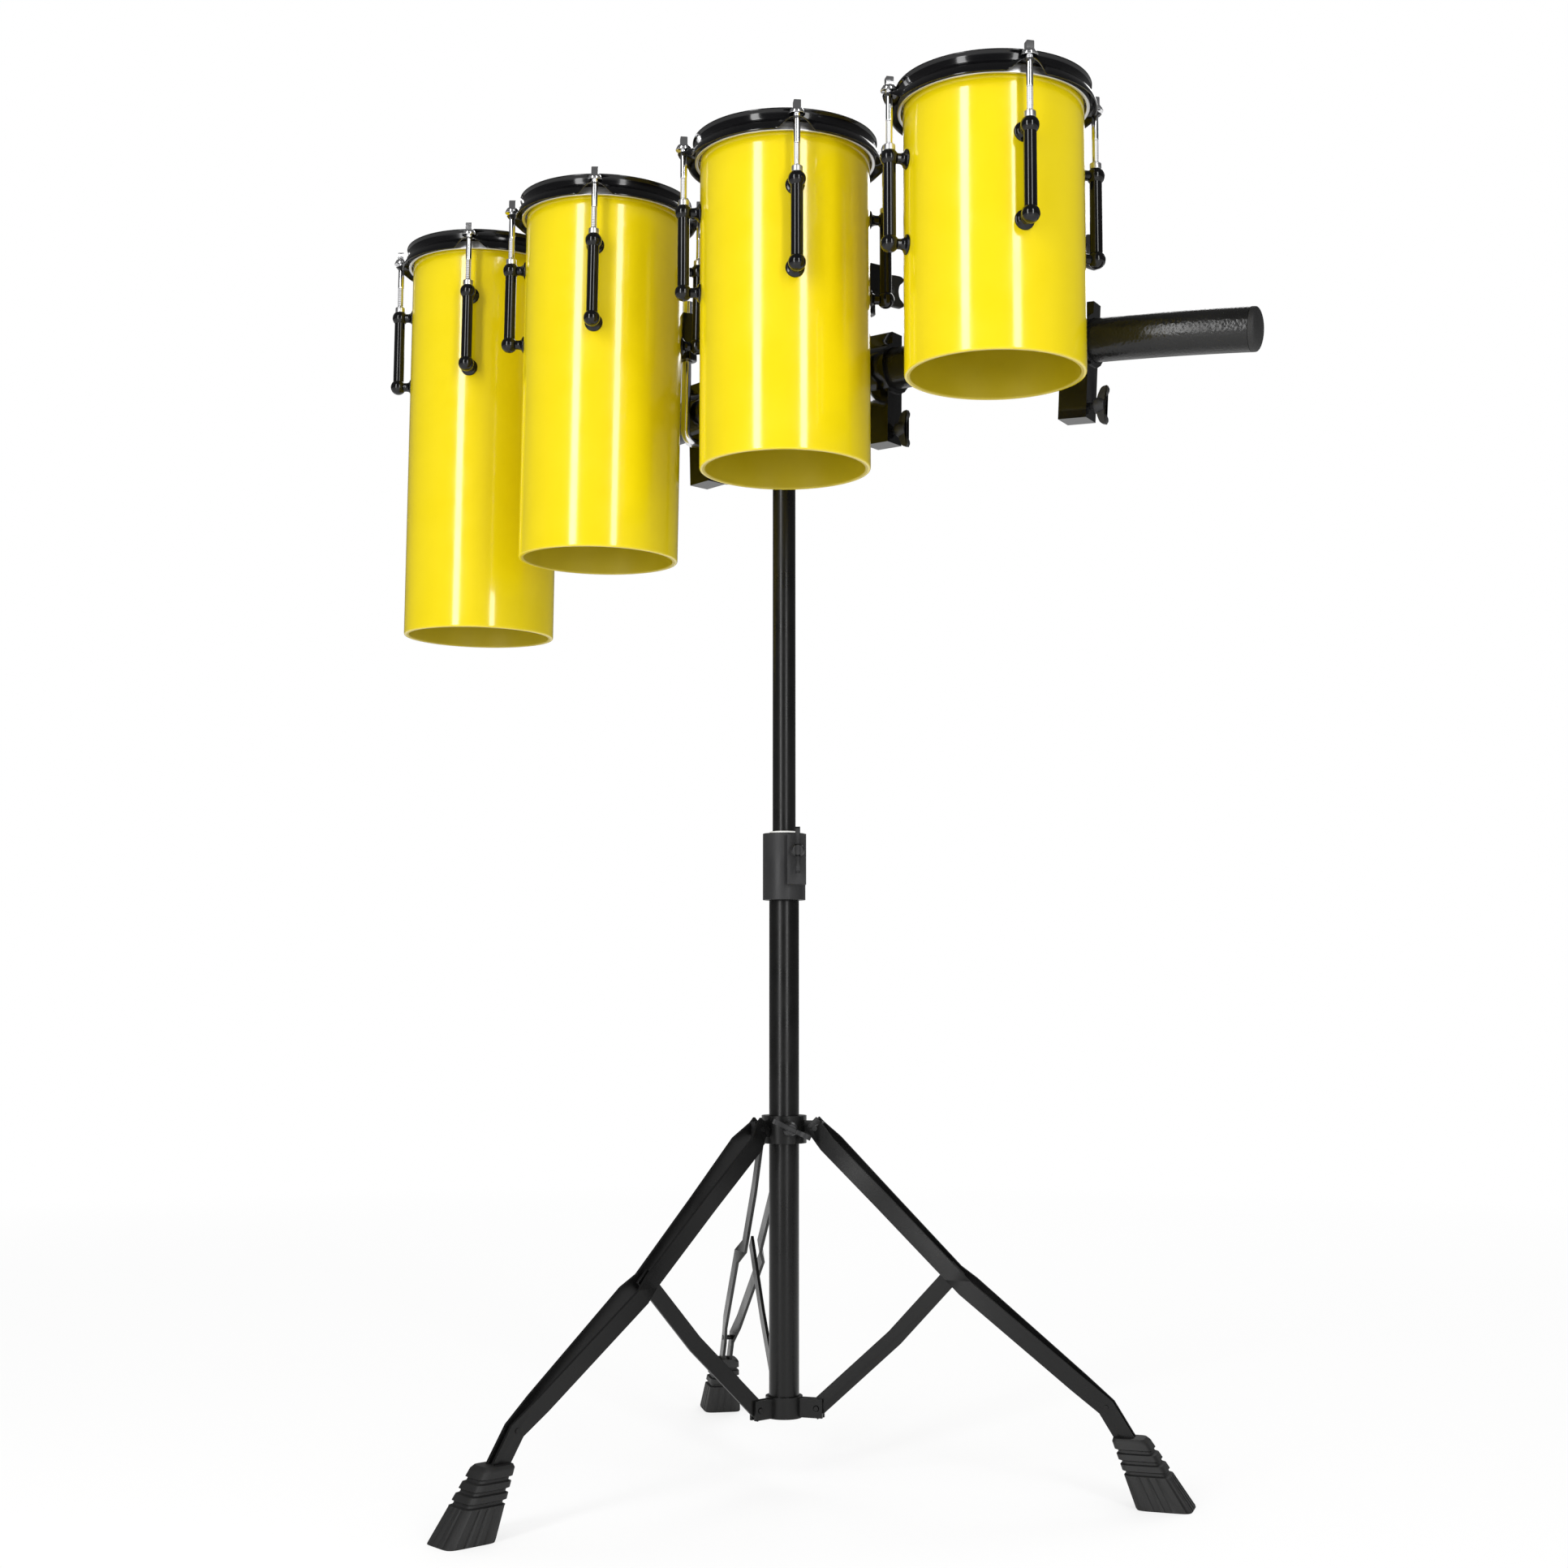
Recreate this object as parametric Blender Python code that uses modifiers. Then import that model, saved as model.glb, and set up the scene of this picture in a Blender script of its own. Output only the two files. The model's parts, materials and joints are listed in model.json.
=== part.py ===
import math

import bmesh
import bpy
from mathutils import Matrix, Vector

mm = 0.001
clearance = 0.3 * mm

# Stand, seen from the pole: angles run from +X towards +Y
pole_x, pole_y = 4.5 * mm, 10.5 * mm
leg_angles = (-18.6, 101.4, 221.4)
wing_angle = 281.4
lower_radius, lower_bottom, lower_top = 14.3 * mm, 60 * mm, 552 * mm
upper_radius, upper_bottom, upper_top = 11.1 * mm, 320 * mm, 1072 * mm
tube_wall = 1.5 * mm
collar_bottom, collar_top, collar_radius = 546 * mm, 610 * mm, 20.5 * mm
lever_height = 592 * mm
hub_bottom, hub_top, hub_radius = 314.5 * mm, 340.6 * mm, 21.5 * mm
pin_radius_out = 33 * mm
arm_length = 186 * mm
base_pin_height, hub_pin_height = 68 * mm, 329 * mm
bracket_bottom, bracket_top, bracket_wall = 58 * mm, 78 * mm, 3 * mm
bar_width, bar_thick = 16 * mm, 3 * mm
ear_thick = 6 * mm
pin_radius = 2.6 * mm
foot_reach = 359 * mm
leg_tail, leg_slope = (344 * mm, 26 * mm), (0.533, 0.846)
foot_height, sole_length, sole_width = 60 * mm, 50 * mm, 40 * mm

# Rack tube: an arc that passes in front of the pole
rack_radius, rack_bend, rack_half = 19.05 * mm, 1528 * mm, 500 * mm
rack_offset, rack_height = 34 * mm, 1030.3 * mm
rack_turn, rack_rise, rack_tip = -41.93, 1.08, -17.8
rack_steps = 20
cap_length = 9 * mm

# Drums, left to right
stations = (-271 * mm, -75.5 * mm, 147.7 * mm, 347.4 * mm)
shell_lengths = (394 * mm, 342 * mm, 290 * mm, 238 * mm)
shell_tops = (1216 * mm, 1212 * mm, 1210 * mm, 1209 * mm)
leans = (1.4, 1.4, 0.0, 0.0)
front_lugs = (-3.8, -1.8, 6.4, 13.0)
shell_radius, shell_wall = 76.2 * mm, 5 * mm
shell_steps = 28
drum_side, drum_front = 29.4 * mm, 112 * mm
rod_front, rod_drop, rod_radius, rod_bend = 29 * mm, 31 * mm, 4.75 * mm, 12 * mm
rod_top, rod_tail = 1136 * mm, 22 * mm
lug_reach, lug_high, lug_low = 91.2 * mm, 59 * mm, 132 * mm
ball_radius, lug_radius, post_radius = 8.2 * mm, 5.4 * mm, 4.5 * mm
bracket_high, bracket_low, bracket_half = 1120 * mm, 1090 * mm, 17 * mm
lock_radius, lock_height = 10 * mm, 13 * mm
clamp_radius, clamp_half, block_low = 23.6 * mm, 15 * mm, 70 * mm
clamp_wing_drop = 58 * mm


def clear_scene():
    for obj in list(bpy.data.objects):
        bpy.data.objects.remove(obj, do_unlink=True)


def new_collection(name):
    group = bpy.data.collections.new(name)
    bpy.context.scene.collection.children.link(group)
    return group


def finish(name, color, roughness, metallic):
    made = bpy.data.materials.new(name)
    made.use_nodes = True
    shader = made.node_tree.nodes["Principled BSDF"]
    shader.inputs["Base Color"].default_value = (*color, 1)
    shader.inputs["Roughness"].default_value = roughness
    shader.inputs["Metallic"].default_value = metallic
    return made


clear_scene()
parts = new_collection("octoban")
cutters = new_collection("cutters")
yellow = finish("yellow_shell", (0.95, 0.62, 0.02), 0.15, 0.0)
gloss_black = finish("gloss_black", (0.01, 0.01, 0.011), 0.25, 0.0)
paint_black = finish("stand_black", (0.015, 0.015, 0.016), 0.4, 0.0)
hammer_black = finish("hammer_black", (0.02, 0.02, 0.02), 0.5, 0.2)
cast_grey = finish("cast_grey", (0.05, 0.05, 0.052), 0.6, 0.3)
chrome = finish("chrome", (0.8, 0.8, 0.82), 0.1, 1.0)
film = finish("head_film", (0.9, 0.9, 0.88), 0.4, 0.0)
nylon = finish("white_nylon", (0.85, 0.85, 0.83), 0.5, 0.0)
rubber = finish("black_rubber", (0.012, 0.012, 0.012), 0.8, 0.0)

origin = bpy.data.objects.new("pole_axis", None)
origin.location = (pole_x, pole_y, 0)
parts.objects.link(origin)


def joint_empty(name, frame):
    empty = bpy.data.objects.new(name, None)
    empty.parent = origin
    empty.matrix_basis = frame
    parts.objects.link(empty)
    return empty


def put(obj, group, frame, parent):
    """Place an object by its frame from the pole, under its joint's empty."""
    group.objects.link(obj)
    obj.parent = parent or origin
    if parent:
        obj.matrix_parent_inverse = parent.matrix_basis.inverted()
    obj.matrix_basis = frame
    return obj


def built(name, build):
    mesh = bpy.data.meshes.new(name)
    shape = bmesh.new()
    build(shape)
    bmesh.ops.recalc_face_normals(shape, faces=shape.faces)
    shape.to_mesh(mesh)
    shape.free()
    return mesh


def add_screw(obj, steps):
    screw = obj.modifiers.new("turn", "SCREW")
    screw.steps = screw.render_steps = steps
    screw.use_merge_vertices = True
    screw.merge_threshold = 0.00005


def profile_mesh(name, points, closed):
    mesh = bpy.data.meshes.new(name)
    edges = [(i, i + 1) for i in range(len(points) - 1)]
    if closed:
        edges.append((len(points) - 1, 0))
    mesh.from_pydata([(r, 0, z) for r, z in points], edges, [])
    return mesh


def piece(name, look, frame, build=None, profile=None, closed=True, steps=24,
          add=None, cut=None, parent=None):
    """One node: a built or turned base, then what is joined to it and cut from it."""
    mesh = built(name, build) if build else profile_mesh(name, profile, closed)
    mesh.materials.append(look)
    obj = put(bpy.data.objects.new(name, mesh), parts, frame, parent)
    if profile:
        add_screw(obj, steps)
    for kind, tool_build in (("UNION", add), ("DIFFERENCE", cut)):
        if tool_build is None:
            continue
        tool_name = name + "_" + kind.lower()
        tool = bpy.data.objects.new(tool_name, built(tool_name, tool_build))
        tool.hide_render = True
        tool.display_type = "WIRE"
        put(tool, cutters, frame, parent)
        change = obj.modifiers.new(kind.lower(), "BOOLEAN")
        change.operation = kind
        change.object = tool
        change.solver = "EXACT"
        change.use_self = True
    return obj


def box(shape, low, high):
    size = [b - a for a, b in zip(low, high)]
    centre = [(a + b) / 2 for a, b in zip(low, high)]
    place = Matrix.Translation(centre) @ Matrix.Diagonal((*size, 1))
    bmesh.ops.create_cube(shape, size=1, matrix=place)


def rod(shape, start, end, radius, sides=10, radius_end=None):
    run = Vector(end) - Vector(start)
    turn = run.to_track_quat("Z", "Y").to_matrix().to_4x4()
    place = Matrix.Translation((Vector(start) + Vector(end)) / 2) @ turn
    bmesh.ops.create_cone(shape, cap_ends=True, segments=sides, radius1=radius,
                          radius2=radius_end or radius, depth=run.length, matrix=place)


def ball(shape, centre, radius):
    bmesh.ops.create_uvsphere(shape, u_segments=8, v_segments=5, radius=radius,
                              matrix=Matrix.Translation(centre))


def tube_profile(radius, inner, low, high):
    return [(radius, high), (radius, low), (inner, low), (inner, high)]


def spin(angle):
    return Matrix.Rotation(math.radians(angle), 4, "Z")


def winged(name, frame, start, hub, reach, half, parent):
    return piece(name, cast_grey, frame,
                 build=lambda s: rod(s, (start, 0, 0), (hub + 2 * mm, 0, 0), 3 * mm, 8),
                 add=lambda s: wing_head(s, hub, reach, half), parent=parent)


def wing_head(shape, hub, reach, half):
    rod(shape, (hub, 0, 0), (hub + 9 * mm, 0, 0), 7 * mm, 12)
    box(shape, (hub + 2 * mm, -2.5 * mm, -half), (hub + reach, 2.5 * mm, half))


# The tubes, the height collar and its lever
def neck_profile():
    neck = upper_radius + clearance + 1.2 * mm
    inner = lower_radius - tube_wall
    return [(neck, lower_top), (lower_radius, lower_top - 6 * mm),
            (lower_radius, lower_bottom), (inner, lower_bottom),
            (inner, lower_top - 8 * mm), (upper_radius + clearance, lower_top)]


def height_group():
    here = Matrix.Identity(4)
    piece("lower_tube", paint_black, here, profile=neck_profile(), steps=24)
    slide = joint_empty("mast_slide", here)
    piece("upper_tube", paint_black, here, parent=slide,
          profile=tube_profile(upper_radius, upper_radius - tube_wall, upper_bottom, upper_top))
    bush = lower_radius - clearance
    piece("height_bushing", nylon, here,
          profile=tube_profile(bush, upper_radius + clearance, lower_top + clearance,
                               collar_top + 2 * mm))
    lug = (13 * mm, -collar_radius - 8 * mm)

    def bosses(shape):
        box(shape, (3 * mm, lug[1] + clearance, collar_bottom + 14 * mm),
            (lug[0] + 8 * mm, -12 * mm, collar_top - 2 * mm))

    def bore(shape):
        rod(shape, (0, 0, collar_bottom - mm), (0, 0, collar_top + mm),
            lower_radius + clearance, 24)
        rod(shape, (lug[0], lug[1] - mm, lever_height), (lug[0], -10 * mm, lever_height),
            3 * mm + clearance, 12)

    piece("height_collar", cast_grey, here, closed=False, steps=24, add=bosses, cut=bore,
          profile=[(0, collar_top), (collar_radius, collar_top),
                   (collar_radius, collar_bottom), (0, collar_bottom)])
    lever = (Matrix.Translation((lug[0], lug[1], lever_height))
             @ Matrix.Rotation(math.radians(-90), 4, "Z"))
    winged("height_lever", lever, -9 * mm, 1.5 * mm, 9 * mm, 22 * mm,
           joint_empty("lever_turn", lever))


# The leg hub, the base bracket, and each leg with its stay and foot
def ear_pins(shape, height, radius, half):
    for angle in leg_angles:
        place = spin(angle)
        start = place @ Vector((pin_radius_out, -half, height))
        end = place @ Vector((pin_radius_out, half, height))
        rod(shape, start, end, radius, 12)


def turned_box(shape, angle, low, high):
    size = [b - a for a, b in zip(low, high)]
    centre = [(a + b) / 2 for a, b in zip(low, high)]
    place = spin(angle) @ Matrix.Translation(centre) @ Matrix.Diagonal((*size, 1))
    bmesh.ops.create_cube(shape, size=1, matrix=place)


def hub_group():
    here = Matrix.Identity(4)
    slide = joint_empty("hub_slide", here)
    bore = lower_radius + clearance

    def ears(shape):
        for angle in leg_angles:
            turned_box(shape, angle, (bore + 2 * mm, -ear_thick / 2, hub_pin_height - 8 * mm),
                       (pin_radius_out + 6 * mm, ear_thick / 2, hub_pin_height + 7 * mm))

    def holes(shape):
        ear_pins(shape, hub_pin_height, pin_radius + clearance, 12 * mm)
        start = spin(wing_angle) @ Vector((0, 0, hub_pin_height))
        end = spin(wing_angle) @ Vector((hub_radius + 4 * mm, 0, hub_pin_height))
        rod(shape, start, end, 3 * mm + clearance, 12)

    piece("leg_hub", paint_black, here, profile=tube_profile(hub_radius, bore, hub_bottom, hub_top),
          add=ears, cut=holes, parent=slide)
    wing_place = spin(wing_angle) @ Matrix.Translation((0, 0, hub_pin_height))
    wing_turn = wing_place @ Matrix.Rotation(math.radians(65), 4, "X")
    winged("hub_wing_bolt", wing_turn, bore + clearance, hub_radius + 5 * mm, 12 * mm, 20 * mm,
           joint_empty("hub_wing_turn", wing_place))

    outer = bore + bracket_wall

    def plates(shape):
        inside = bar_thick / 2 + clearance
        for angle in leg_angles:
            for side in (-1, 1):
                low, high = sorted((side * inside, side * (inside + 2.5 * mm)))
                turned_box(shape, angle, (bore + mm, low, bracket_bottom + mm),
                           (pin_radius_out + 6 * mm, high, bracket_top - mm))

    def sockets(shape):
        ear_pins(shape, base_pin_height, pin_radius + clearance, 12 * mm)

    piece("base_bracket", paint_black, here, add=plates, cut=sockets,
          profile=tube_profile(outer, bore, bracket_bottom, bracket_top))


def bar_strip(shape, path, spread):
    """A flat bar on edge along a path in the X Z plane, set out sideways by spread."""
    count = len(path)
    made = bmesh.ops.create_grid(shape, x_segments=count - 1, y_segments=1, size=1)
    verts = sorted(made["verts"], key=lambda v: (v.co.y, v.co.x))
    for i, vert in enumerate(verts):
        step = i % count
        ahead = Vector(path[min(step + 1, count - 1)])
        behind = Vector(path[max(step - 1, 0)])
        run = (ahead - behind).normalized()
        side = -bar_width / 2 if i < count else bar_width / 2
        r, z = path[step]
        vert.co = (r - run.y * side, spread[step], z + run.x * side)


def fold_angle():
    return math.asin((hub_pin_height - base_pin_height) / (2 * arm_length))


def leg_points():
    mid = pin_radius_out + arm_length * math.cos(fold_angle())
    mid_z = (hub_pin_height + base_pin_height) / 2
    hub_in = (pin_radius_out - 5 * mm, hub_pin_height + 5 * mm)
    path = [hub_in, (pin_radius_out, hub_pin_height), (pin_radius_out + 14 * mm, hub_pin_height - 14 * mm),
            ((pin_radius_out + mid) / 2, (hub_pin_height + mid_z) / 2), (mid, mid_z),
            (mid + 14 * mm, mid_z - 11.5 * mm), (282 * mm, 105 * mm)]
    path += [(leg_tail[0] - back * leg_slope[0], leg_tail[1] + back * leg_slope[1])
             for back in (70 * mm, 32 * mm, 0)]
    near = ear_thick / 2 + clearance + bar_thick / 2
    end = bar_thick / 2 + 2.5 * mm
    gap = [near, near, 13.5 * mm, 10 * mm, bar_thick * 1.5 + clearance + 3 * mm, 13.5 * mm,
           7.5 * mm, end, end, end]
    return path, gap, mid, mid_z


def bar_object(name, look, frame, path, spread, thick_offset, mirrored, rivets, parent):
    obj = piece(name, look, frame, build=lambda s: bar_strip(s, path, spread), parent=parent)
    wall = obj.modifiers.new("thickness", "SOLIDIFY")
    wall.thickness = bar_thick
    wall.offset = thick_offset
    if mirrored:
        pair = obj.modifiers.new("pair", "MIRROR")
        pair.use_axis = (False, True, False)
        pair.merge_threshold = 0.00001
    tool = bpy.data.objects.new(name + "_rivets", built(name + "_rivets", rivets))
    tool.hide_render = True
    tool.display_type = "WIRE"
    put(tool, cutters, frame, parent)
    join = obj.modifiers.new("rivets", "BOOLEAN")
    join.operation = "UNION"
    join.object = tool
    join.solver = "EXACT"
    return obj


def leg_group():
    path, gap, mid, mid_z = leg_points()
    for number, angle in enumerate(leg_angles, 1):
        here = spin(angle)
        hub_pin = here @ Matrix.Translation((pin_radius_out, 0, hub_pin_height))
        base_pin = here @ Matrix.Translation((pin_radius_out, 0, base_pin_height))
        swing = joint_empty("leg_%d_swing" % number, hub_pin)
        prop = joint_empty("stay_%d_swing" % number, base_pin)

        def leg_rivets(shape):
            reach = gap[0] + bar_thick / 2 + 1.5 * mm
            rod(shape, (pin_radius_out, -reach, hub_pin_height),
                (pin_radius_out, reach, hub_pin_height), pin_radius, 10)
            low = gap[7] + bar_thick / 2 + mm
            rod(shape, (path[7][0], -low, path[7][1]), (path[7][0], low, path[7][1]), pin_radius, 10)

        bar_object("leg_%d" % number, paint_black, here, path, gap, 0, True, leg_rivets, swing)

        base_in = (pin_radius_out - 5 * mm, base_pin_height - 5 * mm)
        arm = [base_in, (pin_radius_out, base_pin_height),
               (pin_radius_out + 0.55 * (mid - pin_radius_out) * 1.04,
                base_pin_height + 0.55 * (mid_z - base_pin_height) * 0.96),
               (mid, mid_z), (mid + 5 * mm, mid_z + 5 * mm)]

        def stay_rivets(shape):
            reach = bar_thick / 2 + clearance + 2.5 * mm + mm
            rod(shape, (pin_radius_out, -reach, base_pin_height),
                (pin_radius_out, reach, base_pin_height), pin_radius, 10)

        bar_object("stay_%d" % number, paint_black, here, arm, [0] * len(arm), 0, False,
                   stay_rivets, prop)

        def wedge(shape):
            box(shape, (foot_reach - sole_length / 2, -sole_width / 2, 0),
                (foot_reach + sole_length / 2, sole_width / 2, foot_height))
            for vert in shape.verts:
                if vert.co.z > foot_height / 2:
                    vert.co.x = 327 * mm + (vert.co.x - foot_reach) * 0.62
                    vert.co.y *= 0.68

        def pocket(shape):
            half = gap[-1] + bar_thick / 2 + clearance
            tail = Vector(path[-1])
            run = (tail - Vector(path[-2])).normalized()
            size = 60 * mm
            place = (Matrix.Translation((tail.x, 0, tail.y))
                     @ Matrix.Rotation(-math.atan2(run.y, run.x), 4, "Y")
                     @ Matrix.Translation((-size / 2 + clearance, 0, 0))
                     @ Matrix.Diagonal((size, 2 * half, bar_width + 2 * clearance, 1)))
            bmesh.ops.create_cube(shape, size=1, matrix=place)

        piece("foot_%d" % number, rubber, here, build=wedge, cut=pocket, parent=swing)


# The rack tube, its caps and the clamp that joins it to the mast
def rack_axes():
    turn, rise, tip = (math.radians(a) for a in (rack_turn, rack_rise, rack_tip))
    along = Vector((math.cos(turn) * math.cos(rise), math.sin(turn) * math.cos(rise), math.sin(rise)))
    across = Vector((0, 0, 1)).cross(along).normalized()
    inward = math.cos(tip) * across + math.sin(tip) * along.cross(across)
    middle = -rack_offset * across
    middle.z = rack_height
    return middle, along, inward


def rack_point(distance):
    middle, along, inward = rack_axes()
    bend = distance / rack_bend
    return middle + rack_bend * (math.sin(bend) * along + (1 - math.cos(bend)) * inward)


def rack_run(distance):
    return (rack_point(distance + mm) - rack_point(distance - mm)).normalized()


def station_frame(distance, level):
    """Axes at a place on the tube: X along it, Y back and level, Z up; level keeps Z upright."""
    x = rack_run(distance)
    y = Vector((0, 0, 1)).cross(x).normalized()
    if level:
        x = y.cross(Vector((0, 0, 1)))
    z = x.cross(y)
    turn = Matrix((x, y, z)).transposed().to_4x4()
    return Matrix.Translation(rack_point(distance)) @ turn


def curve_piece(name, look, points, radius, fineness, frame, parent):
    line = bpy.data.curves.new(name, "CURVE")
    line.dimensions = "3D"
    line.bevel_depth = radius
    line.bevel_resolution = fineness
    line.use_fill_caps = True
    run = line.splines.new("POLY")
    run.points.add(len(points) - 1)
    for point, place in zip(run.points, points):
        point.co = (*place, 1)
    line.materials.append(look)
    return put(bpy.data.objects.new(name, line), parts, frame, parent)


def rack_group():
    middle = station_frame(0, True)
    swivel = joint_empty("rack_swivel", Matrix.Translation((0, 0, rack_height)))
    tilt = joint_empty("rack_tilt", station_frame(0, False))
    points = [rack_point(rack_half * (2 * i / rack_steps - 1)) for i in range(rack_steps + 1)]
    curve_piece("rack_tube", hammer_black, points, rack_radius, 3, Matrix.Identity(4), tilt)
    for name, side in (("rack_cap_left", -1), ("rack_cap_right", 1)):
        outward = rack_run(side * rack_half) * side
        turn = outward.to_track_quat("Z", "Y").to_matrix().to_4x4()
        place = Matrix.Translation(rack_point(side * rack_half)) @ turn
        dome = [(0, clearance + cap_length)]
        dome += [(rack_radius * math.sin(a), clearance + 3 * mm + (cap_length - 3 * mm) * math.cos(a))
                 for a in (math.radians(d) for d in (30, 60, 90))]
        dome += [(rack_radius, clearance), (0, clearance)]
        piece(name, rubber, place, profile=dome, closed=False, steps=20, parent=tilt)

    def body(shape):
        rod(shape, (-18 * mm, 0, 0), (18 * mm, 0, 0), 25 * mm, 20)

    def mast_collar(shape):
        rod(shape, (0, rack_offset, -22 * mm), (0, rack_offset, 22 * mm), 17.5 * mm, 20)
        box(shape, (-14 * mm, 12 * mm, -16 * mm), (14 * mm, rack_offset, 16 * mm))

    def bores(shape):
        rise = 30 * mm * math.tan(math.radians(rack_rise))
        rod(shape, (-30 * mm, 0, -rise), (30 * mm, 0, rise), rack_radius + 2 * clearance, 24)
        rod(shape, (0, rack_offset, -30 * mm), (0, rack_offset, 30 * mm), upper_radius + clearance, 24)
        rod(shape, (0, rack_offset, 0), (0, rack_offset + 25 * mm, 0), 3 * mm + clearance, 12)

    piece("rack_clamp", cast_grey, middle, build=body, add=mast_collar, cut=bores, parent=swivel)
    bolt = middle @ Matrix.Translation((0, rack_offset, 0)) @ spin(90)
    winged("rack_clamp_bolt", bolt, upper_radius + 2 * clearance, 22 * mm, 10 * mm, 18 * mm,
           joint_empty("rack_bolt_turn", bolt))


# One drum with its bracket, rod, lock and clamp
def lug_set(shape):
    for quarter in range(4):
        out = spin(-90 + 90 * quarter) @ Vector((1, 0, 0))
        high = out * lug_reach - Vector((0, 0, lug_high))
        low = out * lug_reach - Vector((0, 0, lug_low))
        rod(shape, low, high, lug_radius, 8)
        for end in (high, low):
            foot = out * (shell_radius - shell_wall / 2) + Vector((0, 0, end.z))
            flare = out * (shell_radius + 3.5 * mm) + Vector((0, 0, end.z))
            ball(shape, end, ball_radius)
            rod(shape, foot, end, post_radius, 6)
            rod(shape, foot, flare, 8.5 * mm, 8, 6 * mm)


def rod_set(shape):
    for quarter in range(4):
        turn = spin(-90 + 90 * quarter)
        out = turn @ Vector((1, 0, 0))
        at = out * lug_reach
        turned_box(shape, -90 + 90 * quarter, (83 * mm, -9 * mm, -7 * mm), (98 * mm, 9 * mm, -2.5 * mm))
        rod(shape, at + Vector((0, 0, -lug_high + ball_radius + clearance)), at + Vector((0, 0, 3 * mm)),
            3 * mm, 6)
        rod(shape, at + Vector((0, 0, -3 * mm)), at + Vector((0, 0, mm)), 6.5 * mm, 8)
        turned_box(shape, -90 + 90 * quarter, (lug_reach - 3.2 * mm, -3.2 * mm, 0),
                   (lug_reach + 3.2 * mm, 3.2 * mm, 10 * mm))


def rim_profile():
    points = [(83, 8), (80.3, 5.5), (80, -1.5), (84.5, -4.5), (87.6, -13),
              (85.9, -13), (82.2, -4.3), (78.2, -4.2), (78.2, 8)]
    return [(r * mm, z * mm) for r, z in points]


def head_profile():
    points = [(0, 0.9), (77.3, 0.9), (77.6, -4.6), (81, -4.6), (81, -12), (76.6, -12), (76.6, 0.3), (0, 0.3)]
    return [(r * mm, z * mm) for r, z in points]


def rod_points(top):
    points = [(0, -rod_front, top), (0, -rod_front, (top + rod_bend) / 2)]
    for i in range(6):
        a = math.radians(90 * i / 5)
        points.append((0, -rod_front + rod_bend * (1 - math.cos(a)), rod_bend * (1 - math.sin(a))))
    points.append((0, rod_tail, 0))
    return points


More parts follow.
